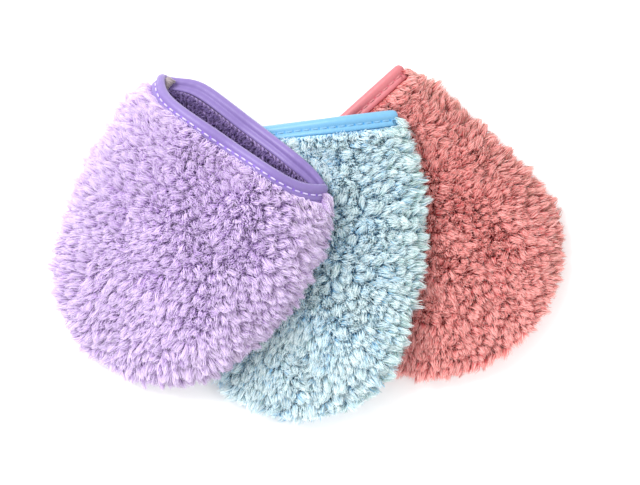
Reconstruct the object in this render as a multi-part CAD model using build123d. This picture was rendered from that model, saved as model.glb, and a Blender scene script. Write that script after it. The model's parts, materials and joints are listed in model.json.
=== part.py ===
from build123d import *
import math
import os

# A set of three plush cleansing mitts, fanned out and lying on one another: pink at the bottom,
# blue on it, lilac on top with its mouth held open. Millimetres, +Z up, the surface at z = 0.
# Every mitt is a pouch of two plush panels, sewn round three sides, with a folded tape round its
# mouth. In a mitt's own directions, X runs along its mouth and -Y from the mouth to the closed end.

# Sizes that the mitts share
PANEL = 3.2              # plush panel, pile on both faces, lightly pressed
CLOSED_HEIGHT = 11.0     # height of a mitt that lies closed
SEAM_HEIGHT = 5.5        # where the two panels meet, over a mitt's underside
REST_GAP = 0.3           # between a mitt and the one it lies on
PARTING = 0.3            # between the two panels of a mitt that opens
CUFF_WIDTH = 8.0         # how far the tape reaches over each face of the rim
TAPE = 0.8               # thickness of the tape
PILE_OVER_TAPE = 0.3     # the pressed pile stands this much higher than the tape
STITCH_LENGTH = 3.0
STITCH_GAP = 1.4
STITCH_WIDTH = 0.7
STITCH_ROW = 5.0         # from the folded edge of the tape to the row of stitches
SEAM_THREAD_WIDTH = 1.2  # the overlocked edge inside the pouch
SEAM_THREAD_HEIGHT = 1.6
CORNER_SEAM_REACH = 3.5  # the bound seam end at the left corner of the mouth
CORNER_SEAM_HEIGHT = 2.2
BEFORE_MOUTH = 20.0      # a pouch is drawn this much too long, then trimmed at its mouth

# Sizes and places of each mitt. shoulder and hip are depths along its side, where it is body and
# hip_width wide. There, its middle stands shoulder_lean and hip_lean to one side of its mouth's middle.
PINK = {
    "name": "pink", "centre": (3.0, 54.0), "turn": 42.0, "lift": 0.0,
    "mouth": 107.0, "body": 124.0, "hip_width": 122.0, "shoulder": 62.0, "hip": 103.0, "depth": 145.5,
    "shoulder_lean": 1.0, "hip_lean": 3.5, "top": CLOSED_HEIGHT, "fall": 0.0, "arch": 0.0, "setback": 0.0,
}
BLUE = {
    "name": "blue", "centre": (-12.0, 59.0), "turn": 7.0, "lift": CLOSED_HEIGHT + REST_GAP,
    "mouth": 107.0, "body": 128.0, "hip_width": 116.0, "shoulder": 55.0, "hip": 104.0, "depth": 150.0,
    "shoulder_lean": 1.0, "hip_lean": -7.0, "top": CLOSED_HEIGHT, "fall": 0.0, "arch": 0.0, "setback": 0.0,
}
LILAC = {
    "name": "lilac", "centre": (-35.5, 56.0), "turn": -34.5, "lift": 2 * (CLOSED_HEIGHT + REST_GAP),
    "mouth": 103.0, "body": 125.0, "hip_width": 108.0, "shoulder": 50.0, "hip": 97.0, "depth": 138.5,
    "shoulder_lean": 6.5, "hip_lean": 8.0, "top": 29.0, "fall": 15.0, "arch": 130.0, "setback": 13.0,
}


def outline(mitt, inset):
    """A mitt seen from above, smaller by inset: two curved sides and a round closed end."""
    mouth, body, hip = (mitt[key] / 2 - inset for key in ("mouth", "body", "hip_width"))
    sides = []
    for side in (-1, 1):
        start = (side * mouth, 0)
        widest = (side * body + mitt["shoulder_lean"], -mitt["shoulder"])
        sides.append(ThreePointArc(start, widest, (side * hip + mitt["hip_lean"], -mitt["hip"])))
    left, right = sides
    end = (mitt["hip_lean"], -(mitt["depth"] - inset))
    closed_end = ThreePointArc(left @ 1, end, right @ 1)
    mouth_end = Polyline(right @ 0, (mouth, BEFORE_MOUTH), (-mouth, BEFORE_MOUTH), left @ 0)
    return make_face([left, closed_end, right, mouth_end])


def pouch(mitt, inset):
    """The outer shape of a mitt, smaller by inset all round. An open mitt's top is an arch that falls back."""
    bottom = mitt["lift"] + inset
    if not mitt["arch"]:
        return Pos(0, 0, bottom) * extrude(outline(mitt, inset), CLOSED_HEIGHT - 2 * inset)
    block = Pos(0, 0, bottom) * extrude(outline(mitt, inset), 2 * mitt["top"])
    slope = math.degrees(math.atan2(mitt["fall"], mitt["depth"]))
    crown = mitt["lift"] + mitt["top"] - mitt["arch"]
    arch = Pos(mitt["shoulder_lean"], 0, crown) * Rot(90 + slope, 0, 0) * Cylinder(mitt["arch"] - inset, 600)
    return block & arch


def mouth_band(mitt, start, end, low=-300.0, high=300.0):
    """What lies between two depths behind the mouth, and from low to high along it."""
    lean = math.degrees(math.atan2(mitt["setback"], mitt["top"] - SEAM_HEIGHT))
    shrink = math.cos(math.radians(lean))
    thick = (end - start) * shrink
    block = Pos((low + high) / 2, -start * shrink - thick / 2, 0) * Box(high - low, thick, 600)
    return Pos(0, 0, mitt["lift"] + SEAM_HEIGHT) * Rot(lean, 0, 0) * block


def layer(mitt, low, high):
    """What lies between two heights over the mitt's underside."""
    return Pos(0, 0, mitt["lift"] + (low + high) / 2) * Box(600, 600, high - low)


def make_panels(mitt):
    """Back and front panel, each with a thin rim that the tape folds over."""
    wall = (pouch(mitt, 0) - pouch(mitt, PANEL)) & mouth_band(mitt, CUFF_WIDTH, 400)
    rim = pouch(mitt, PILE_OVER_TAPE + TAPE) - pouch(mitt, PANEL - TAPE)
    both = wall + (rim & mouth_band(mitt, TAPE, CUFF_WIDTH))
    parting = PARTING if mitt["setback"] else 0.0
    return both & layer(mitt, 0, SEAM_HEIGHT), both & layer(mitt, SEAM_HEIGHT + parting, 100)


def make_cuff(mitt):
    """One tape folded over the rim, all round the mouth."""
    tape = (pouch(mitt, PILE_OVER_TAPE) - pouch(mitt, PANEL)) & mouth_band(mitt, 0, CUFF_WIDTH)
    rim = pouch(mitt, PILE_OVER_TAPE + TAPE) - pouch(mitt, PANEL - TAPE)
    return tape - (rim & mouth_band(mitt, TAPE, CUFF_WIDTH))


def make_topstitch(mitt):
    """One row of stitches through the tape, seen on its outer face."""
    half = STITCH_WIDTH / 2
    row = (pouch(mitt, 0) - pouch(mitt, PILE_OVER_TAPE)) & mouth_band(mitt, STITCH_ROW - half, STITCH_ROW + half)
    pitch = STITCH_LENGTH + STITCH_GAP
    count = int((mitt["mouth"] - 2 * pitch) / pitch)
    stitches = []
    for i in range(count):
        start = (i - count / 2) * pitch
        stitches += (row & mouth_band(mitt, 0, CUFF_WIDTH, start, start + STITCH_LENGTH)).solids()
    return Compound(stitches)


def make_edge_seam(mitt):
    """Overlock thread along the sewn edges, inside the pouch."""
    low, high = SEAM_HEIGHT - SEAM_THREAD_HEIGHT, SEAM_HEIGHT
    inner = extrude(outline(mitt, PANEL + SEAM_THREAD_WIDTH), 300)
    ring = (pouch(mitt, PANEL) & layer(mitt, low, high)) - inner
    return ring & mouth_band(mitt, CUFF_WIDTH, 400)


def make_corner_seam(mitt):
    """The bound end of the side seam, which catches the tape's two ends at the mouth's left corner."""
    left = -mitt["mouth"] / 2
    zone = mouth_band(mitt, TAPE, CUFF_WIDTH, left - CUFF_WIDTH, left + PANEL + CORNER_SEAM_REACH)
    return (pouch(mitt, PANEL) & zone) & layer(mitt, SEAM_HEIGHT - CORNER_SEAM_HEIGHT, SEAM_HEIGHT)


def make_mitt(mitt):
    back, front = make_panels(mitt)
    return {
        "back_panel": back,
        "front_panel": front,
        "cuff_binding": make_cuff(mitt),
        "cuff_topstitch": make_topstitch(mitt),
        "edge_seam_thread": make_edge_seam(mitt),
        "corner_seam": make_corner_seam(mitt),
    }


def main():
    os.makedirs("parts", exist_ok=True)
    pieces = {}
    for mitt in (PINK, BLUE, LILAC):
        where = Pos(*mitt["centre"], 0) * Rot(0, 0, mitt["turn"])
        for piece, shape in make_mitt(mitt).items():
            pieces[f"{mitt['name']}_{piece}"] = where * shape
    # The origin is on the surface, under the middle of the set.
    middle = Compound(list(pieces.values())).bounding_box().center()
    home = Pos(-middle.X, -middle.Y, 0)
    print("the set moves by", round(-middle.X, 3), round(-middle.Y, 3))
    for node, shape in pieces.items():
        print(node, len(shape.solids()), round(shape.volume))
        export_step(home * shape, f"parts/{node}.step")


main()
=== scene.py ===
# %% [markdown]
# # Three plush cleansing mitts
# The set is a fan of three mitts for washing the face. Each is a pouch of two pile panels with a satin tape
# folded over its mouth. The pink one lies at the bottom, the blue one on it, and the lilac one on top with
# its mouth standing open. The solids of the parts are loaded first, and their record gives the place and
# direction of each mouth.

# %% The frame, and tools
import bpy
import json
import math
import numpy as np
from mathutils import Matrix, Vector
from mathutils.kdtree import KDTree


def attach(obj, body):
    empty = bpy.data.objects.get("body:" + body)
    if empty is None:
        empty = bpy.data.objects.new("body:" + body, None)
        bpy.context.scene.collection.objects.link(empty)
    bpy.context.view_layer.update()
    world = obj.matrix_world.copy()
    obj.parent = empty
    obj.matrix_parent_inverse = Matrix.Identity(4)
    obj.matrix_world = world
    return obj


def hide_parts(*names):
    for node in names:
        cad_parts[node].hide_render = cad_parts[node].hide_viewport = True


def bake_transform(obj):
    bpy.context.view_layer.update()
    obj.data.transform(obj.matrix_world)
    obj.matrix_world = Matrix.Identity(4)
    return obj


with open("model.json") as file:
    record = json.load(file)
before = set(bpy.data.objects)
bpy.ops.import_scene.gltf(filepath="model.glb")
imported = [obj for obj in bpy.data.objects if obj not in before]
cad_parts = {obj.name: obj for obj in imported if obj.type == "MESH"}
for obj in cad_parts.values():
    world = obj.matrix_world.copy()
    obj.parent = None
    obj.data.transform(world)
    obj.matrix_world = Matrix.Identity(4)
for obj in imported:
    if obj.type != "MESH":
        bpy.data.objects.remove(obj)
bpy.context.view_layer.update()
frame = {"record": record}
MM = 0.001
record_mounts = {mount["name"]: mount for mount in frame["record"]["mounts"]}

# %% [markdown]
# ## The size of a mitt
# A mitt is described in its own directions: u runs along the mouth, v from the mouth to the closed end, and
# the height over its underside is z. The place and direction of each mouth come from the record of the parts,
# so only the cut of the panels is given here. The pile stands out past the cloth's edge, so the cloth is cut
# smaller than the mitt looks, by edge_pile at the sides and end_pile at the closed end. front, back and puff
# are how far the panels swell, and ramp is how long the slope is where a mitt sags off the one below. All
# lengths are in millimetres until the mesh is written.

# %% The three mitts
SEAM_HEIGHT = 5.5
MITT_HEIGHT = 11.3
CUFF_WIDTH = 8.0
MITTS = {
    "pink": dict(
        mouth=107, body=124, hip_width=122, shoulder=62, hip=103, depth=145.5,
        shoulder_lean=1.0, hip_lean=3.5,
        front=2.6, puff=2.2, back=2.6, open_rim=False, ramp=1.0, edge_pile=2.6, end_pile=2.6, seed=11),
    "blue": dict(
        mouth=107, body=128, hip_width=116, shoulder=55, hip=104, depth=150, shoulder_lean=1.0, hip_lean=-7.0,
        front=2.6, puff=2.4, back=2.6, open_rim=False, ramp=34.0, edge_pile=7.6, end_pile=2.4, seed=22),
    "lilac": dict(
        mouth=103, body=125, hip_width=108, shoulder=50, hip=97, depth=138.5, shoulder_lean=6.5, hip_lean=8.0,
        front=19.0, puff=4.0, back=3.2, open_rim=True, ramp=48.0, edge_pile=4.2, end_pile=4.2, seed=33),
}
BELOW = {"pink": None, "blue": "pink", "lilac": "blue"}
for name, mitt in MITTS.items():
    mount = record_mounts[name + "_hand_opening"]
    outward = np.array(mount["axis"][:2])
    mitt["name"] = name
    mitt["centre"] = np.array(mount["pos_m"][:2]) / MM
    mitt["inward"] = -outward
    mitt["along"] = np.array([outward[1], -outward[0]])
    mitt["length"] = mitt["depth"] - mitt["end_pile"]
    print(name, "mouth at", mitt["centre"].round(1), "facing", outward.round(2))


def circle_through(a, b, c):
    """Centre and radius of the circle through three points."""
    (ax, ay), (bx, by), (cx, cy) = a, b, c
    d = 2 * (ax * (by - cy) + bx * (cy - ay) + cx * (ay - by))
    aa, bb, cc = ax * ax + ay * ay, bx * bx + by * by, cx * cx + cy * cy
    x = (aa * (by - cy) + bb * (cy - ay) + cc * (ay - by)) / d
    y = (aa * (cx - bx) + bb * (ax - cx) + cc * (bx - ax)) / d
    return x, y, math.hypot(ax - x, ay - y)


def side_at(mitt, v, side):
    """Where one edge of the cloth is at depth v: an arc down the side, then the arc of the closed end."""
    v = np.clip(v, 0, mitt["length"])
    lean, hip, pile = mitt["hip_lean"], mitt["hip"], mitt["edge_pile"]
    mouth = (side * (mitt["mouth"] / 2 - 2), 0)
    shoulder = (mitt["shoulder_lean"] + side * (mitt["body"] / 2 - pile), mitt["shoulder"])
    hips = [(lean + end * (mitt["hip_width"] / 2 - pile), hip) for end in (side, -side)]
    x, y, radius = circle_through(mouth, shoulder, hips[0])
    along_side = x + side * np.sqrt(np.maximum(radius ** 2 - (v - y) ** 2, 0))
    x, y, radius = circle_through(hips[0], (lean, mitt["length"]), hips[1])
    round_end = x + side * np.sqrt(np.maximum(radius ** 2 - (v - y) ** 2, 0))
    return np.where(v < hip, along_side, round_end)


def half_width(mitt, v):
    return (side_at(mitt, v, 1) - side_at(mitt, v, -1)) / 2


def middle(mitt, v):
    return (side_at(mitt, v, 1) + side_at(mitt, v, -1)) / 2


def to_world(mitt, u, v):
    return mitt["centre"] + u[..., None] * mitt["along"] + v[..., None] * mitt["inward"]


# %% [markdown]
# ## How the mitts drape
# A mitt that lies over the edge of another sags down to the table beside it. The height of its underside is a
# smooth slope that depends on how far a point stands outside the mitt below. This is worked out for every
# vertex and every fibre, so cloth, tape and pile all bend together.

# %% The drape
def outline(mitt, steps=60):
    v = mitt["length"] * np.sin(np.pi / 2 * np.linspace(0, 1, steps))
    left = to_world(mitt, middle(mitt, v) - half_width(mitt, v), v)
    right = to_world(mitt, middle(mitt, v) + half_width(mitt, v), v)
    return np.vstack([left, right[::-1]])


def outside(mitt, points):
    """How far points stand outside a mitt's outline, seen from above. Inside it is less than 0."""
    ring = outline(mitt)
    start, end = ring, np.roll(ring, -1, axis=0)
    nearest = np.full(len(points), np.inf)
    inside = np.zeros(len(points), bool)
    for a, b in zip(start, end):
        run = b - a
        length = max(run @ run, 1e-9)
        share = np.clip((points - a) @ run / length, 0, 1)
        nearest = np.minimum(nearest, np.linalg.norm(points - a - share[:, None] * run, axis=1))
        crosses = (a[1] > points[:, 1]) != (b[1] > points[:, 1])
        rise = b[1] - a[1] if abs(b[1] - a[1]) > 1e-9 else 1e-9
        inside ^= crosses & (points[:, 0] < a[0] + run[0] * (points[:, 1] - a[1]) / rise)
    return np.where(inside, -nearest, nearest)


# %% [markdown]
# The slope is needed for half a million points, so it is worked out once on a grid and read off between the
# grid's points.

# %% The drape on a grid
GRID_STEP = 2.0
GRID_REACH = 190.0
INSIDE_EDGE = 4.0
grid_line = np.arange(-GRID_REACH, GRID_REACH + GRID_STEP, GRID_STEP)
grid_points = np.stack(np.meshgrid(grid_line, grid_line, indexing="ij"), axis=-1).reshape(-1, 2)


def read_field(field, points):
    """A field's values between its grid points."""
    place = np.clip((points[:, :2] + GRID_REACH) / GRID_STEP, 0, len(grid_line) - 1.001)
    cell = np.floor(place).astype(int)
    (i, j), (x, y) = cell.T, (place - cell).T
    near = field[i, j] * (1 - x) + field[i + 1, j] * x
    far = field[i, j + 1] * (1 - x) + field[i + 1, j + 1] * x
    return near * (1 - y) + far * y


edge_field, rest_field = {}, {}
for name, mitt in MITTS.items():
    shape = (len(grid_line), len(grid_line))
    edge_field[name] = outside(mitt, grid_points).reshape(shape)
    below = BELOW[name]
    if below is None:
        rest_field[name] = np.zeros(shape)
    else:
        reach = np.clip((edge_field[below] + INSIDE_EDGE) / mitt["ramp"], 0, 1)
        rest_field[name] = (1 - reach * reach * (3 - 2 * reach)) * (rest_field[below] + MITT_HEIGHT)
    print(name, "lies up to", rest_field[name].max().round(1), "mm over the table")


def rest_height(mitt, points):
    """Height of a mitt's underside over the table."""
    return read_field(rest_field[mitt["name"]], points)


# %% [markdown]
# ## The pouch as a surface
# Across the mouth the pouch is a flat oval, held open on the lilac mitt and closed on the other two. Towards
# the closed end it tapers to its seam. One function gives any point of the front or back panel from two
# shares: s across, from -1 to 1, and t along, from 0 at the mouth to 1 at the closed end.

# %% The pouch
def smooth_noise(points, scale, seed):
    """A gentle random height field: a few sine waves in fixed random directions."""
    rng = np.random.default_rng(seed)
    total = np.zeros(len(points))
    for _ in range(6):
        angle, phase, size = rng.uniform(0, 2 * np.pi, 2).tolist() + [rng.uniform(0.7, 1.5)]
        wave = points[:, 0] * math.cos(angle) + points[:, 1] * math.sin(angle)
        total += np.sin(wave * 2 * np.pi / (scale * size) + phase)
    return total / 6


def rim_bow(mitt, s, side):
    """How far the open rim stands off the line between the mouth's corners, turning sharply at the left."""
    if not mitt["open_rim"]:
        return np.zeros(len(s))
    share = np.clip((s + 1) / 2, 0, 1)
    if side > 0:
        return 8.4 * (1 - (1 - share) ** 18) * (1 - share ** 12)
    return -9.2 * (1 - np.exp(-(share / 0.13) ** 2)) * (1 - 0.62 * share) * (1 - share ** 14)


RIM_FADE = 30.0      # the rim's bow has gone this far behind the mouth


def pouch_at(mitt, s, base, side):
    """Points of a panel in millimetres, at a share s across and a distance base behind the rim."""
    u = middle(mitt, base) + s * half_width(mitt, base)
    v = base + rim_bow(mitt, s, side) * np.exp(-base / RIM_FADE)
    oval = np.clip(1 - np.abs(s) ** 2.5, 0, 1) ** (1 / 2.2)
    share = np.clip(base / mitt["length"], 0, 1)
    taper = np.clip(1 - share ** 3.2, 0, 1) ** 0.8
    height = mitt["back"]
    lumps = 0
    flat = to_world(mitt, u, v)
    if side > 0:
        height = mitt["front"] * (1 - 0.3 * share) + mitt["puff"] * np.sin(np.pi * share)
        lumps = smooth_noise(flat, 34, mitt["seed"]) * min(mitt["front"] * 0.16, 1.4)
        lumps *= np.sin(np.pi * share)
    z = SEAM_HEIGHT + side * oval * taper * height + lumps * oval
    return np.column_stack([flat, z + rest_height(mitt, flat)])


def pouch_point(mitt, s, t, side):
    """The same, at a share t of the way from the mouth to the closed end."""
    return pouch_at(mitt, s, mitt["length"] * np.sin(np.pi / 2 * t), side)


def select_none():
    bpy.ops.object.select_all(action="DESELECT")


def finish_piece(piece, name):
    """Names a piece and its mesh."""
    piece.name = piece.data.name = name
    return piece


def add_grid(name, columns, rows):
    select_none()
    bpy.ops.mesh.primitive_grid_add(x_subdivisions=columns, y_subdivisions=rows, size=2)
    return finish_piece(bpy.context.object, name)


def vertex_array(piece):
    flat = np.empty(len(piece.data.vertices) * 3)
    piece.data.vertices.foreach_get("co", flat)
    return flat.reshape(-1, 3)


def set_vertices(piece, points_mm):
    piece.data.vertices.foreach_set("co", (points_mm * MM).ravel())
    piece.data.update()


# %% [markdown]
# ## Finishes
# Coral fleece is a knitted polyester whose long loops are cut and brushed, so it has a dull knitted ground
# and a deep, pale pile. The tape is woven polyester satin, smooth enough to carry a soft highlight. The
# thread is spun polyester. Colours are given as they look on a screen and turned to linear light once.

# %% Material helpers
def linear(hex_colour):
    parts = [int(hex_colour[i:i + 2], 16) / 255 for i in (1, 3, 5)]
    return [p / 12.92 if p <= 0.04045 else ((p + 0.055) / 1.055) ** 2.4 for p in parts] + [1.0]


def add_node(tree, kind, links=(), values=(), **settings):
    """One node, with its settings, the values of its sockets, and its links from other sockets."""
    made = tree.nodes.new(kind)
    for key, value in settings.items():
        setattr(made, key, value)
    for key, value in dict(values).items():
        made.inputs[key].default_value = value
    for key, source in dict(links).items():
        tree.links.new(source, made.inputs[key])
    return made


def new_material(name, roughness, sheen, sheen_tint=None):
    material = bpy.data.materials.new(name)
    material.use_nodes = True
    tree = material.node_tree
    shader = tree.nodes["Principled BSDF"]
    shader.inputs["Roughness"].default_value = roughness
    shader.inputs["Sheen Weight"].default_value = sheen
    shader.inputs["Sheen Roughness"].default_value = 0.5
    shader.inputs["IOR"].default_value = 1.45
    if sheen_tint:
        shader.inputs["Sheen Tint"].default_value = sheen_tint
    return material, tree, shader


def ramp(tree, source, stops):
    """A colour ramp with (place, hex colour) stops."""
    made = add_node(tree, "ShaderNodeValToRGB", links={"Fac": source})
    band = made.color_ramp
    while len(band.elements) < len(stops):
        band.elements.new(0.5)
    for element, (place, colour) in zip(band.elements, stops):
        element.position, element.color = place, linear(colour)
    return made.outputs["Color"]


# Each mitt's colours: its pile at the root, halfway and at the tip, its deepest fibres, its greyish fibres,
# which also paint the shade on the right edge, the pile inside it at the root and tip, painted darker as the
# shade in the pouch, its tape and its stitches
COLOURS = {
    "pink": dict(root="#DA5A64", half="#F09896", tip="#FCD0CC", deep="#D8525C", dull_and_shade="#CFA095",
                 inner="#7A343E", inner_tip="#B8686C", tape="#B8676D", thread="#BE7478"),
    "blue": dict(root="#5FB0E2", half="#CDEBF7", tip="#F4FBFC", deep="#8ACAEE", dull_and_shade="#C6DCD8",
                 inner="#35596E", inner_tip="#6E9DB8", tape="#679DC0", thread="#74A6C8"),
    "lilac": dict(root="#DCBCF4", half="#EAD8F6", tip="#F3E8FB", deep="#E4CBF5", dull_and_shade="#DDD0E2",
                  inner="#5A4270", inner_tip="#A089C2", tape="#7966A1", thread="#C8BAE6"),
}


DEEP_FROM, DULL_AND_SHADE_FROM = 0.45, 0.86


def pile_material(name, colours):
    """Brushed coral-fleece fibre: saturated at its dense root and nearly white at its split tip.
    It is so thin that half the light comes through it, which keeps the gaps between tufts bright in colour.
    Its map is a colour chart. Across it go from pale to deep fibres and then to greyish ones, which also
    paint the shade on the right edge, and up it from root to tip."""
    material, tree, shader = new_material(name, 0.9, 0.2)
    place = add_node(tree, "ShaderNodeUVMap", uv_map="OFBake")
    split = add_node(tree, "ShaderNodeSeparateXYZ", links={"Vector": place.outputs["UV"]})
    charts = [
        [(0.0, colours["root"]), (0.3, colours["half"]), (0.7, colours["tip"])],
        [(0.0, colours["root"]), (0.5, colours["deep"]), (1.0, colours["half"])],
        [(0.0, colours["root"]), (0.3, colours["dull_and_shade"]), (1.0, colours["dull_and_shade"])],
    ]
    pale, deep, dull_and_shade = (ramp(tree, split.outputs["Y"], stops) for stops in charts)
    for other, start, end in ((deep, DEEP_FROM, DULL_AND_SHADE_FROM - 0.06), (dull_and_shade, DULL_AND_SHADE_FROM, DULL_AND_SHADE_FROM + 0.04)):
        share = add_node(tree, "ShaderNodeMapRange", links={"Value": split.outputs["X"]},
                         values={"From Min": start, "From Max": end})
        mix = add_node(tree, "ShaderNodeMix", data_type="RGBA",
                       links={"Factor": share.outputs["Result"], "A": pale, "B": other})
        pale = mix.outputs[2]
    tree.links.new(pale, shader.inputs["Base Color"])
    through = add_node(tree, "ShaderNodeBsdfTranslucent", links={"Color": pale})
    thin = add_node(tree, "ShaderNodeMixShader", values={"Fac": 0.5},
                    links={1: shader.outputs["BSDF"], 2: through.outputs["BSDF"]})
    tree.links.new(thin.outputs["Shader"], tree.nodes["Material Output"].inputs["Surface"])
    return material


def ground_material(name, colours):
    """Knitted polyester ground cloth, matte and a little deeper than the pile on it; given the colours of the
    inside, it is painted darker as the shade in the pouch. Its ribs are about 1 mm apart, too fine to show,
    so they are drawn 2 mm apart."""
    material, tree, shader = new_material(name, 0.95, 0.3)
    place = add_node(tree, "ShaderNodeTexCoord")
    ribs = add_node(tree, "ShaderNodeTexWave", links={"Vector": place.outputs["Object"]},
                    values={"Scale": 160.0, "Distortion": 1.5, "Detail": 1.0})
    colour = ramp(tree, ribs.outputs["Fac"], [(0.0, colours["deep"]), (1.0, colours["half"])])
    tree.links.new(colour, shader.inputs["Base Color"])
    bump = add_node(tree, "ShaderNodeBump", links={"Height": ribs.outputs["Fac"]},
                    values={"Strength": 0.4, "Distance": 0.0004})
    tree.links.new(bump.outputs["Normal"], shader.inputs["Normal"])
    return material


STITCH_PITCH = 4.4
STITCH_LENGTH = 3.1
STITCH_ROW = 5.0


def tape_material(name, colour, hole_shade):
    """Woven polyester satin, folded and ironed: a soft highlight along the fold, faint cross threads, drawn
    0.9 mm apart so that they show, and needle holes at both ends of every stitch, painted darker as the
    shade in them. Its map is in millimetres, along and across."""
    material, tree, shader = new_material(name, 0.42, 0.15)
    place = add_node(tree, "ShaderNodeUVMap", uv_map="TapeMap")
    split = add_node(tree, "ShaderNodeSeparateXYZ", links={"Vector": place.outputs["UV"]})
    threads = add_node(tree, "ShaderNodeMath", operation="MULTIPLY", links={0: split.outputs["X"]},
                       values={1: 2 * math.pi * 1000 / 0.9})
    wave = add_node(tree, "ShaderNodeMath", operation="SINE", links={0: threads.outputs[0]})
    turn = add_node(tree, "ShaderNodeMath", operation="MULTIPLY", links={0: split.outputs["X"]},
                    values={1: 1000 / STITCH_PITCH})
    part = add_node(tree, "ShaderNodeMath", operation="FRACT", links={0: turn.outputs[0]})
    off = add_node(tree, "ShaderNodeMath", operation="SUBTRACT", links={0: part.outputs[0]}, values={1: 0.5})
    near = add_node(tree, "ShaderNodeMath", operation="ABSOLUTE", links={0: off.outputs[0]})
    along = add_node(tree, "ShaderNodeMapRange", links={"Value": near.outputs[0]},
                     values={"From Min": 0.34, "From Max": 0.46})
    across = add_node(tree, "ShaderNodeMath", operation="SUBTRACT", links={0: split.outputs["Y"]},
                      values={1: STITCH_ROW / 1000})
    reach = add_node(tree, "ShaderNodeMath", operation="ABSOLUTE", links={0: across.outputs[0]})
    row = add_node(tree, "ShaderNodeMapRange", links={"Value": reach.outputs[0]},
                   values={"From Min": 0.0009, "From Max": 0.0003})
    shaded_hole = add_node(tree, "ShaderNodeMath", operation="MULTIPLY",
                    links={0: along.outputs["Result"], 1: row.outputs["Result"]})
    mix = add_node(tree, "ShaderNodeMix", data_type="RGBA", links={"Factor": shaded_hole.outputs[0]},
                   values={"A": linear(colour), "B": linear(hole_shade)})
    tree.links.new(mix.outputs[2], shader.inputs["Base Color"])
    bump = add_node(tree, "ShaderNodeBump", links={"Height": wave.outputs[0]},
                    values={"Strength": 0.12, "Distance": 0.0002})
    tree.links.new(bump.outputs["Normal"], shader.inputs["Normal"])
    return material


def thread_material(name, colour):
    """Spun polyester sewing thread. Its twist is about 0.4 mm apart, too fine to show, so it is
    drawn at 1.8 mm."""
    material, tree, shader = new_material(name, 0.6, 0.3)
    place = add_node(tree, "ShaderNodeTexCoord")
    twist = add_node(tree, "ShaderNodeTexWave", bands_direction="DIAGONAL",
                     links={"Vector": place.outputs["Object"]}, values={"Scale": 200.0, "Distortion": 0.5})
    shade = add_node(tree, "ShaderNodeMix", data_type="RGBA", blend_type="MULTIPLY",
                     links={"B": twist.outputs["Color"]}, values={"Factor": 0.18, "A": linear(colour)})
    tree.links.new(shade.outputs[2], shader.inputs["Base Color"])
    return material


# Colours of the needle holes: painted shade in the pits where the stitches go through
TAPE_HOLE_SHADES = {"pink": "#B04A58", "blue": "#2E7FB8", "lilac": "#7A57C0"}
finishes = {}
for name, colours in COLOURS.items():
    # Inside the pouch the pile and the back cloth take the darker colours of the inside: painted shade
    inside = dict.fromkeys(("root", "deep"), colours["inner"])
    inside.update(dict.fromkeys(("half", "tip", "dull_and_shade"), colours["inner_tip"]))
    finishes[name] = dict(
        inside=pile_material(name + " short inner pile", inside),
        seam=thread_material(name + " undyed overlock thread", "#9C8F92"),
        pile=pile_material(name + " coral fleece pile", colours),
        ground=ground_material(name + " knitted ground", colours),
        shaded_ground=ground_material(name + " knitted ground, shaded", inside),
        tape=tape_material(name + " satin tape", colours["tape"], TAPE_HOLE_SHADES[name]),
        thread=thread_material(name + " sewing thread", colours["thread"]),
    )
print("finishes made for", ", ".join(finishes))


# %% [markdown]
# ## The ground cloth of the panels
# Each panel starts as a grid whose points are laid on the pouch. The row at the closed end shrinks to one
# point, so its vertices are merged. A Solidify modifier gives the knitted cloth its 1.2 mm.

# %% Panels
CLOTH = 1.2
CLOTH_START = 6.8     # the cloth ends this far behind the rim, under the tape
COLUMNS, ROWS = 64, 56


def make_panel(mitt, side):
    label = "front" if side > 0 else "back"
    panel = add_grid(f"{mitt['name']}_{label}_cloth", COLUMNS, ROWS)
    spot = vertex_array(panel)
    s = np.sin(np.pi / 2 * spot[:, 0])
    t = (1 - spot[:, 1]) / 2
    first = 2 / np.pi * math.asin(CLOTH_START / mitt["length"])
    set_vertices(panel, pouch_point(mitt, s, first + (1 - first) * t, side))
    bpy.ops.object.mode_set(mode="EDIT")
    bpy.ops.mesh.select_all(action="SELECT")
    bpy.ops.mesh.remove_doubles(threshold=0.00005)
    if side < 0:
        bpy.ops.mesh.flip_normals()
    bpy.ops.object.mode_set(mode="OBJECT")
    return panel


def thicken(panel):
    solid = panel.modifiers.new("thickness", "SOLIDIFY")
    solid.thickness = CLOTH * MM
    solid.offset = -1
    bpy.context.view_layer.objects.active = panel
    bpy.ops.object.modifier_apply(modifier=solid.name)
    bpy.ops.object.select_all(action="DESELECT")
    panel.select_set(True)
    bpy.ops.object.shade_smooth()


# %% [markdown]
# ## Pile
# A hair system would not survive as a mesh, so every visible fibre bundle is a narrow blade: a four-sided
# face from its root to halfway, and a pointed one to its tip. The blades are made together with arrays.
# Each tip leans to the middle of its tuft and a whole tuft swings its own way, which gives the uneven
# pointed locks of brushed fleece. A slow random field turns the nap so that it lies in swirls.

# %% Fibres
def unit(vectors):
    return vectors / np.maximum(np.linalg.norm(vectors, axis=1), 1e-9)[:, None]


CORNER_SIDE = 0.97     # past this share across, pile hides the end of the tape
CORNER_START = 3.0     # there, pile starts this far behind the rim
TRIES_EACH = 4


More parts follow.
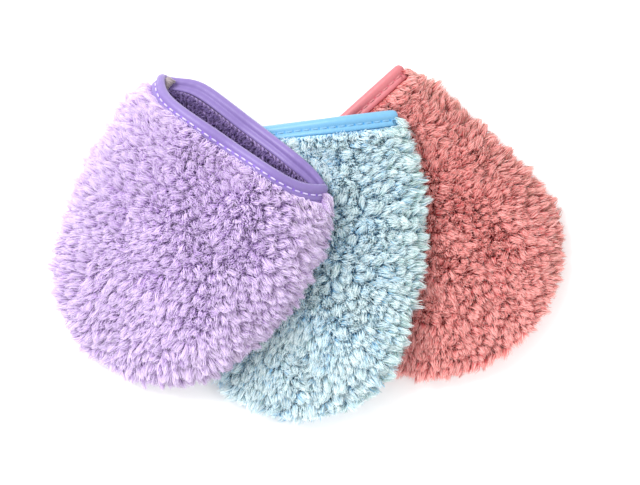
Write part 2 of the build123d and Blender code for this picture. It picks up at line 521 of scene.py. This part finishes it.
def scatter(mitt, side, count, from_rim, rng):
    """Places on a panel behind its tape, evenly by area, with their normals, shares across and depths."""
    tries = count * TRIES_EACH
    s = np.sin(np.pi / 2 * rng.uniform(-1, 1, tries))
    t = rng.uniform(0, 1, tries)
    base = mitt["length"] * np.sin(np.pi / 2 * t)
    place = pouch_at(mitt, s, base, side)
    small = 0.004
    left, right = (pouch_at(mitt, np.clip(s + step, -1, 1), base, side) for step in (-small, small))
    across = right - left
    down = pouch_at(mitt, s, base + 0.3, side) - pouch_at(mitt, s, base - 0.3, side)
    normal = np.cross(down, across) * side
    area = np.linalg.norm(normal, axis=1)
    area *= np.sqrt(1 - np.clip(s, -1, 1) ** 2 + 0.004) * np.cos(np.pi / 2 * t)
    area[(base < np.where(s > CORNER_SIDE, CORNER_START, from_rim)) | ~np.isfinite(area)] = 0
    chosen = rng.choice(tries, count, replace=False, p=area / area.sum())
    return place[chosen], unit(normal[chosen]), s[chosen], base[chosen]


def nap(mitt, s, base, place):
    """The way the pile leans: out from the middle, away from the tape, and in small random swirls."""
    share = base / mitt["length"]
    out = s * np.abs(s)
    down = 0.9 * np.clip(share * 1.6 - 0.7, -0.15, 1) + 1.0 * np.exp(-(base - CUFF_WIDTH) / 6)
    seed = mitt["seed"]
    swirl = np.column_stack([smooth_noise(place, 24, seed), smooth_noise(place, 24, seed + 1)])
    ruffle = np.column_stack([smooth_noise(place, 7, seed + 2), smooth_noise(place, 7, seed + 3)])
    flat = out[:, None] * mitt["along"] + down[:, None] * mitt["inward"] + 0.5 * swirl + 0.6 * ruffle
    return np.column_stack([flat, np.zeros(len(flat))])


OUTLINE_SHARE = 0.75     # how much of the box round its outline a mitt fills


def find_tufts(place, size, rng):
    """The number of each root's tuft. Some roots, taken at random, are the tufts' middles, about size apart,
    and the other roots join the nearest."""
    spread = np.ptp(place[:, :2], axis=0).prod() * OUTLINE_SHARE
    middles = rng.choice(len(place), max(int(spread / size ** 2), 1), replace=False)
    tree = KDTree(len(middles))
    for number, at in enumerate(middles):
        tree.insert(place[at], number)
    tree.balance()
    return np.array([tree.find(spot)[1] for spot in place.tolist()])


def tuft_middle(points, group):
    """The middle of each point's tuft."""
    size = np.maximum(np.bincount(group), 1).astype(float)
    centre = np.column_stack([np.bincount(group, points[:, i]) / size for i in range(3)])
    return centre[group]


BLADE_MAP_WIDTH = 0.006
DULL_AND_SHADE_PLACE = 0.97


def blade_mesh(name, points, shade, finish):
    """A mesh of blades from each one's five points. shade is its place on the colour chart."""
    count = len(points)
    first = np.arange(count)[:, None] * 5
    quads = (first + np.array([0, 1, 2, 3])).ravel()
    tips = (first + np.array([3, 2, 4])).ravel()
    starts = np.concatenate([np.arange(count) * 4, count * 4 + np.arange(count) * 3]).astype(np.int32)
    loops = np.concatenate([quads, tips]).astype(np.int32)
    mesh = bpy.data.meshes.new(name)
    mesh.vertices.add(count * 5)
    mesh.vertices.foreach_set("co", (points * MM).ravel())
    mesh.loops.add(len(loops))
    mesh.loops.foreach_set("vertex_index", loops)
    mesh.polygons.add(count * 2)
    mesh.polygons.foreach_set("loop_start", starts)
    low, high = shade - BLADE_MAP_WIDTH, shade + BLADE_MAP_WIDTH
    foot, waist, top = np.full(count, 0.01), np.full(count, 0.5), np.full(count, 0.99)
    quad_map = np.stack([low, foot, high, foot, high, waist, low, waist], axis=1)
    tip_map = np.stack([low, waist, high, waist, shade, top], axis=1)
    layer = mesh.uv_layers.new(name="OFBake")
    layer.uv.foreach_set("vector", np.concatenate([quad_map.ravel(), tip_map.ravel()]))
    mesh.update(calc_edges=True)
    mesh.validate()
    mesh.polygons.foreach_set("use_smooth", np.ones(len(mesh.polygons), bool))
    mesh.materials.append(finish)
    return mesh


def make_pile(name, mitt, spots, kind, finish, seed, ceiling=None):
    """Pile as one mesh. kind gives its fibres' size, how upright they stand and how they clump."""
    place, normal, s, base = spots
    rng = np.random.default_rng(seed)
    count = len(place)
    lean = nap(mitt, s, base, place)
    lean -= normal * np.sum(lean * normal, axis=1)[:, None]
    edge = np.clip(np.abs(s) * 4 - 3, 0, 1) + np.clip(base / mitt["length"] * 5 - 4, 0, 1)
    edge = np.clip(edge, 0, 1)
    jitter = rng.normal(0, kind["jitter"], (count, 3))
    tufted = 1 + edge * (0.1 + 0.3 * smooth_noise(place, 9, seed + 11))
    reach = kind["length"] * rng.uniform(0.7, 1.15, count) * tufted
    start = unit(normal * 1.2 + lean * 0.3 + jitter * 0.6)
    after = unit(normal * kind["stand"] + lean * 0.8 + jitter)
    half = place + start * (reach * 0.5)[:, None]
    tip = half + after * (reach * 0.5)[:, None]
    group = find_tufts(place, kind["tuft"], rng)
    swing = rng.normal(0, kind["swing"], (group.max() + 1, 3))[group]
    tuft = tuft_middle(tip, group) + swing
    tip += (tuft - tip) * (kind["clump"] * (1 + 0.3 * edge) * rng.uniform(0.7, 1.2, count))[:, None]
    half += (tuft_middle(half, group) + swing * 0.3 - half) * kind["clump"] * 0.4
    if ceiling is not None:
        half[:, 2] = np.minimum(half[:, 2], ceiling - 0.4)
        tip[:, 2] = np.minimum(tip[:, 2], ceiling)
    tip[:, 2] = np.maximum(tip[:, 2], rest_height(mitt, tip) + 0.2)
    half[:, 2] = np.maximum(half[:, 2], rest_height(mitt, half) + 0.15)
    roll = rng.normal(0, 0.8, (count, 3))
    across = unit(np.cross(tip - place, normal + roll))
    across *= (kind["width"] * rng.uniform(0.7, 1.25, count) / 2)[:, None]
    root = place - normal * 0.3
    points = np.stack([root - across, root + across, half + across * 0.9, half - across * 0.9, tip], axis=1)
    points[..., 2] = np.maximum(points[..., 2], 0)      # nothing goes into the table
    shade = rng.beta(1.3, 2.2, count) * 0.8 + 0.13 * smooth_noise(place, 6, seed + 9)
    shade += 0.12 * smooth_noise(place, 30, seed + 10) + rng.normal(0, 0.09, group.max() + 1)[group]
    shade = np.clip(shade, 0.02, DULL_AND_SHADE_FROM - 0.04)
    # Greyish fibres: a few at random everywhere, as the fleece's own tone, and many more towards the right
    # edge, where they paint the shade on that side
    dull_and_shade = rng.random(count) < 0.04 + 0.35 * np.clip(s, 0, 1) ** 6
    shade = np.where(dull_and_shade, DULL_AND_SHADE_PLACE, shade)
    mesh = blade_mesh(name, points, shade, finish)
    piece = bpy.data.objects.new(name, mesh)
    bpy.context.collection.objects.link(piece)
    print(name, count, "fibres")
    return piece


# %% [markdown]
# ## The satin tape
# The tape is folded over the rim, so its section is a flat hook: a round nose, a groove where the stitches
# pull it down, and a thin lip on each face. The section is carried round the mouth's loop, which gives one
# closed ring, with its map in millimetres along and across.

# %% Mouth loop and tape
# Half the section from the nose to the lip: depth behind the nose, and height over the middle of the rim
TAPE_SECTION = [
    (-0.4, 0.0), (-0.1, 0.9), (0.7, 1.7), (2.0, 2.15), (3.2, 2.0), (4.1, 1.5), (4.7, 1.1),
    (5.3, 1.15), (6.0, 1.5), (7.2, 1.55), (8.0, 1.35), (8.3, 0.9), (8.0, 0.45),
]
LOOP_STEPS = 240


def mouth_loop(mitt, steps, depth):
    """Points round the mouth at a depth behind the rim: over the front, then back."""
    turn = np.linspace(0, 2 * np.pi, steps, endpoint=False)
    s = -np.cos(turn)
    base = np.full(steps, float(depth))
    front = np.sin(turn) >= 0
    return np.where(front[:, None], pouch_at(mitt, s, base, 1), pouch_at(mitt, s, base, -1))


def rim_frame(mitt, steps):
    """The rim's points, with the way into the pouch and the way out of its wall at each."""
    rim, deeper = mouth_loop(mitt, steps, 0.0), mouth_loop(mitt, steps, 9.0)
    inward = unit(deeper - rim)
    ahead = unit(np.roll(rim, -1, axis=0) - np.roll(rim, 1, axis=0))
    outward = unit(np.cross(inward, ahead))
    return rim, inward, outward


def make_tape(mitt):
    rim, inward, outward = rim_frame(mitt, LOOP_STEPS)
    half = TAPE_SECTION
    section = half + [(d, -h) for d, h in half[:0:-1]]
    step = np.linalg.norm(np.roll(rim, -1, axis=0) - rim, axis=1)
    run = np.concatenate([[0], np.cumsum(step)])
    pucker = 0.12 * np.sin(run[:-1] * 2 * np.pi / STITCH_PITCH) + 0.1 * smooth_noise(rim, 12, mitt["seed"])
    rows = []
    for depth, height in section:
        swell = height + np.sign(height) * pucker * (0.4 if abs(height) > 0.3 else 0)
        rows.append(rim + inward * depth + outward * (swell[:, None] - CLOTH / 2))
    points = np.concatenate(rows)
    count, across = LOOP_STEPS, len(section)
    faces, maps = [], []
    for j in range(across):
        k = (j + 1) % across
        for i in range(count):
            n = (i + 1) % count
            faces.append((j * count + i, k * count + i, k * count + n, j * count + n))
            d0, d1 = (section[m][0] * (1 if 0 < m < len(half) else -1) for m in (j, k))
            maps += [(run[i], d0), (run[i], d1), (run[i + 1], d1), (run[i + 1], d0)]
    mesh = bpy.data.meshes.new("tape")
    mesh.from_pydata((points * MM).tolist(), [], faces)
    layer = mesh.uv_layers.new(name="TapeMap")
    layer.uv.foreach_set("vector", (np.array(maps) * MM).ravel())
    mesh.materials.append(finishes[mitt["name"]]["tape"])
    tape = bpy.data.objects.new("tape", mesh)
    bpy.context.collection.objects.link(tape)
    select_none()
    tape.select_set(True)
    bpy.context.view_layer.objects.active = tape
    bpy.ops.object.mode_set(mode="EDIT")
    bpy.ops.mesh.select_all(action="SELECT")
    bpy.ops.mesh.normals_make_consistent(inside=False)
    bpy.ops.object.mode_set(mode="OBJECT")
    bpy.ops.object.shade_smooth()
    return finish_piece(tape, mitt["name"] + "_cuff_tape")


# %% [markdown]
# ## Stitches
# One stitch is a flattened bead with round ends, modelled from a small sphere. It is copied along the groove
# of the tape, on its outer face, with each copy laid along the run of the rim.

# %% Topstitch
def stitch_shape():
    """One stitch along X, in millimetres."""
    select_none()
    bpy.ops.mesh.primitive_uv_sphere_add(segments=8, ring_count=6, radius=1, rotation=(0, math.pi / 2, 0))
    stitch = bpy.context.object
    bpy.ops.object.transform_apply(location=False, rotation=True, scale=False)
    spot = vertex_array(stitch)
    spot[:, 0] = np.sign(spot[:, 0]) * np.abs(spot[:, 0]) ** 0.6 * STITCH_LENGTH / 2
    spot[:, 1] *= 0.42
    spot[:, 2] *= 0.32
    faces = [tuple(face.vertices) for face in stitch.data.polygons]
    bpy.data.objects.remove(stitch)
    return spot, faces


def place_copies(name, shape, centres, ahead, up, finish):
    """Copies a shape to each centre, its X along ahead and its Z along up."""
    spot, faces = shape
    points, all_faces = [], []
    for centre, x_axis, z_axis in zip(centres, ahead, up):
        y_axis = np.cross(z_axis, x_axis)
        points.append(centre + spot @ np.array([x_axis, y_axis, z_axis]))
        offset = len(spot) * (len(points) - 1)
        all_faces += [tuple(v + offset for v in face) for face in faces]
    mesh = bpy.data.meshes.new(name)
    mesh.from_pydata((np.concatenate(points) * MM).tolist(), [], all_faces)
    mesh.materials.append(finish)
    piece = bpy.data.objects.new(name, mesh)
    bpy.context.collection.objects.link(piece)
    select_none()
    piece.select_set(True)
    bpy.context.view_layer.objects.active = piece
    bpy.ops.object.shade_smooth()
    return piece


STITCH_OVER_CLOTH = 0.72


def make_topstitch(mitt, shape):
    rim, inward, outward = rim_frame(mitt, 1200)
    step = np.linalg.norm(np.roll(rim, -1, axis=0) - rim, axis=1)
    run = np.concatenate([[0], np.cumsum(step)[:-1]])
    total = step.sum()
    centres, ahead, up = [], [], []
    for i in range(int(total / STITCH_PITCH)):
        at = int(np.searchsorted(run, (i + 0.5) * STITCH_PITCH)) % len(rim)
        heading = unit((rim[(at + 3) % len(rim)] - rim[at - 3])[None])[0]
        centres.append(rim[at] + inward[at] * STITCH_ROW + outward[at] * STITCH_OVER_CLOTH)
        ahead.append(heading)
        up.append(outward[at])
    finish = finishes[mitt["name"]]["thread"]
    return place_copies(mitt["name"] + "_cuff_stitches", shape, centres, ahead, up, finish)


# %% [markdown]
# ## Seams inside the pouch
# The panels are sewn face to face with an overlock stitch and turned, so the edge of the seam stands inside
# the pouch with thread looped over it. It is one zigzag tube of thread. At the left corner of the mouth the
# seam also catches the ends of the tape, and that stub shows in the open mouth.

# %% Overlocked seams
THREAD_RADIUS = 0.35
# The corner's stub: its share across the mouth, its height over the back panel, and its half width and height
SEAM_SIDE = -0.9
SEAM_WIDE, SEAM_TALL = 2.1, 1.3
SEAM_LIFT = {"pink": 2.6, "blue": 2.6, "lilac": 4.4}


def tube(name, points_mm, radius, finish):
    """A closed tube along a line of points: a curve with a round bevel, turned into a mesh."""
    curve = bpy.data.curves.new(name, "CURVE")
    curve.dimensions = "3D"
    curve.bevel_depth, curve.bevel_resolution, curve.use_fill_caps = radius * MM, 1, True
    spline = curve.splines.new("POLY")
    spline.points.add(len(points_mm) - 1)
    spline.points.foreach_set("co", np.column_stack([points_mm * MM, np.ones(len(points_mm))]).ravel())
    piece = bpy.data.objects.new(name, curve)
    bpy.context.collection.objects.link(piece)
    select_none()
    piece.select_set(True)
    bpy.context.view_layer.objects.active = piece
    bpy.ops.object.convert(target="MESH")
    piece = finish_piece(bpy.context.object, name)
    piece.data.materials.clear()
    piece.data.materials.append(finish)
    return piece


def make_edge_seam(mitt):
    steps = 260
    v = 10 + (mitt["length"] - 14) * np.sin(np.pi / 2 * np.linspace(0, 1, steps))
    inset = 3.0
    left = to_world(mitt, middle(mitt, v) - np.maximum(half_width(mitt, v + 2) - inset, 0), v)
    right = to_world(mitt, middle(mitt, v) + np.maximum(half_width(mitt, v + 2) - inset, 0), v)
    line = np.vstack([left, right[::-1]])
    zigzag = np.where(np.arange(len(line)) % 2 == 0, 0.7, -0.7)
    z = SEAM_HEIGHT + zigzag + rest_height(mitt, line)
    finish = finishes[mitt["name"]]["thread"]
    return tube(mitt["name"] + "_edge_seam", np.column_stack([line, z]), THREAD_RADIUS, finish)


def make_corner_seam(mitt):
    """Stub of the side seam in the mouth's left corner, wrapped in overlock thread."""
    turns, steps, long = 20, 6, 10.0
    share = np.arange(turns * steps) / (turns * steps)
    side = np.full(len(share), SEAM_SIDE)
    floor = pouch_at(mitt, side, 0.8 + long * share, -1)
    angle = share * turns * 2 * np.pi
    fuzz = np.random.default_rng(mitt["seed"]).normal(0, 0.16, (len(share), 3))
    ring = np.outer(np.cos(angle) * SEAM_WIDE, np.append(mitt["along"], 0))
    ring += np.outer(np.sin(angle) * SEAM_TALL, (0, 0, 1))
    lift = np.array([0.0, 0.0, SEAM_LIFT[mitt["name"]]])
    finish = finishes[mitt["name"]]["seam"]
    return tube(mitt["name"] + "_corner_seam_wrap", floor + lift + ring + fuzz, THREAD_RADIUS, finish)


# %% [markdown]
# ## Putting the mitts together
# The pile of the front is densest, because it is seen from above. Pile grows from just behind the tape. Under
# a mitt that lies on top, the pile below is pressed flat, so its tips get a ceiling.

# %% Kinds of pile
LONG = dict(length=8.4, width=0.7, stand=0.62, jitter=0.30, tuft=3.9, clump=0.64, swing=1.1)
SHORT = dict(length=6.0, width=0.55, stand=0.75, jitter=0.42, tuft=2.6, clump=0.4, swing=0.5)
INNER = dict(length=4.6, width=0.7, stand=0.8, jitter=0.5, tuft=2.6, clump=0.5, swing=0.5)
LONG_FIBRES = 60000
SHORT_FIBRES = 50000
BACK_FIBRES = 26000
INNER_FIBRES = {"pink": 6000, "blue": 6000, "lilac": 34000}
INNER_ROOM = {"pink": 3.2, "blue": 3.2, "lilac": 60.0}
ABOVE = {"pink": ("blue", "lilac"), "blue": ("lilac",), "lilac": ()}


OVERHANG = 11.0      # how far an open rim bows out past the line of its mouth


def pile_ceiling(mitt, place):
    """The height that the tips may reach: the underside of the mitt above, where one lies on them."""
    ceiling = np.full(len(place), 1e3)
    for other in ABOVE[mitt["name"]]:
        above = MITTS[other]
        covered = read_field(edge_field[other], place) < 1.5
        if above["open_rim"]:
            offset = place[:, :2] - above["centre"]
            behind = offset @ above["inward"]
            beside = np.abs(offset @ above["along"]) < above["mouth"] / 2
            covered |= beside & (behind > -OVERHANG) & (behind < 2)
        rest = rest_height(above, place) + 1.2
        ceiling = np.where(covered, np.minimum(ceiling, rest), ceiling)
    return ceiling


# %% Build the mitts
stitch = stitch_shape()
built = {}
for name, mitt in MITTS.items():
    look = finishes[name]
    seed = mitt["seed"]
    rng = np.random.default_rng(seed)
    pieces = {"front": make_panel(mitt, 1), "back": make_panel(mitt, -1)}
    behind_tape = CUFF_WIDTH + 0.2
    for key, kind, count in (("front_pile", LONG, LONG_FIBRES), ("front_underpile", SHORT, SHORT_FIBRES)):
        spots = scatter(mitt, 1, count, behind_tape, rng)
        pieces[key] = make_pile(f"{name}_{key}", mitt, spots, kind, look["pile"], seed + len(pieces),
                                pile_ceiling(mitt, spots[0]))
    spots = scatter(mitt, -1, BACK_FIBRES, behind_tape, rng)
    pieces["back_pile"] = make_pile(name + "_back_pile", mitt, spots, LONG, look["pile"], seed + 5)
    place, normal, s, base = scatter(mitt, -1, INNER_FIBRES[name], CUFF_WIDTH - 0.7, rng)
    place = place - normal * CLOTH
    roof = place[:, 2] + INNER_ROOM[name]
    spots = (place, -normal, s, base)
    pieces["inner_pile"] = make_pile(name + "_inner_pile", mitt, spots, INNER, look["inside"], seed + 6, roof)
    for key in ("front", "back"):
        thicken(pieces[key])
        # The back cloth gets the darker cloth colour of the inside: painted shade in the pouch
        pieces[key].data.materials.append(look["ground"] if key == "front" else look["shaded_ground"])
    pieces["tape"] = make_tape(mitt)
    pieces["stitches"] = make_topstitch(mitt, stitch)
    pieces["edge_seam"] = make_edge_seam(mitt)
    pieces["corner_wrap"] = make_corner_seam(mitt)
    built[name] = pieces

# %% [markdown]
# ## Bodies, and the solids the pieces replace
# Every piece but the lilac mitt's opening ones rides on its mitt's body, and the plain solids that the pieces
# replace are hidden. On the lilac mitt the front panel swings up as its mouth is opened; its cloth, pile,
# tape and stitches ride on no body and have their places baked into their meshes. The point and tilt of that
# turn are worked out, but nothing uses them.

# %% Bodies and hidden solids
OPENING = ("front", "front_pile", "front_underpile", "tape", "stitches")
for name, pieces in built.items():
    mitt = MITTS[name]
    for key, piece in pieces.items():
        crosses = name == "lilac" and key in OPENING
        if not crosses:
            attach(piece, name)
    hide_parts(name + "_front_panel")
    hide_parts(name + "_back_panel")
    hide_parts(name + "_cuff_binding")
    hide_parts(name + "_cuff_topstitch")
    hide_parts(name + "_edge_seam_thread")
    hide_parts(name + "_corner_seam")

lilac = MITTS["lilac"]
left_low, right_low = (pouch_at(lilac, np.array([s]), np.array([20.0]), -1)[0] for s in (-0.9, 0.9))
rise = (right_low[2] - left_low[2]) / np.linalg.norm(right_low[:2] - left_low[:2])
tilt_up = unit(np.array([[-rise * lilac["along"][0], -rise * lilac["along"][1], 1.0]]))[0]
turn_start = (left_low + right_low) / 2 + tilt_up * 3
turn_start = turn_start * MM
for key in OPENING:
    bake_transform(built["lilac"][key])

# %% [markdown]
# ## Table, light and camera
# The mitts lie on a white table and are seen from straight above. A large soft light stands at the upper left
# and a weaker one opposite, so the pile keeps its relief and the shadows stay pale.

# %% Table
select_none()
bpy.ops.mesh.primitive_plane_add(size=4, location=(0, 0, 0))
table = finish_piece(bpy.context.object, "table")
table_paint, _, table_shader = new_material("white table", 0.9, 0.0)
table_shader.inputs["Base Color"].default_value = linear("#FBFBFB")
table_shader.inputs["Specular IOR Level"].default_value = 0.0
table.data.materials.append(table_paint)

# %% Light
world = bpy.data.worlds.new("studio")
bpy.context.scene.world = world
world.use_nodes = True
world.node_tree.nodes["Background"].inputs["Color"].default_value = (1, 1, 1, 1)
world.node_tree.nodes["Background"].inputs["Strength"].default_value = 1.0


def add_light(name, place, power, size):
    light = bpy.data.lights.new(name, "AREA")
    light.energy, light.size = power, size
    lamp = bpy.data.objects.new(name, light)
    bpy.context.collection.objects.link(lamp)
    lamp.location = place
    lamp.rotation_euler = (-Vector(place)).to_track_quat("-Z", "Y").to_euler()


add_light("soft key", (-0.9, 0.8, 1.1), 30, 0.8)
add_light("fill", (0.9, -0.5, 1.2), 6, 1.0)

# %% Camera
VIEW_WIDTH = 0.320
VIEW_PLANE = 0.018
CAMERA_HEIGHT = 1.20
SENSOR = 36.0
camera_data = bpy.data.cameras.new("camera")
camera_data.sensor_width = SENSOR
camera_data.lens = SENSOR * (CAMERA_HEIGHT - VIEW_PLANE) / VIEW_WIDTH
camera = bpy.data.objects.new("camera", camera_data)
bpy.context.collection.objects.link(camera)
camera.location = (0.0061, 0.0, CAMERA_HEIGHT)
bpy.context.scene.camera = camera
bpy.context.scene.view_settings.view_transform = "Standard"
print("camera lens", round(camera_data.lens, 1), "mm")

bpy.context.view_layer.update()
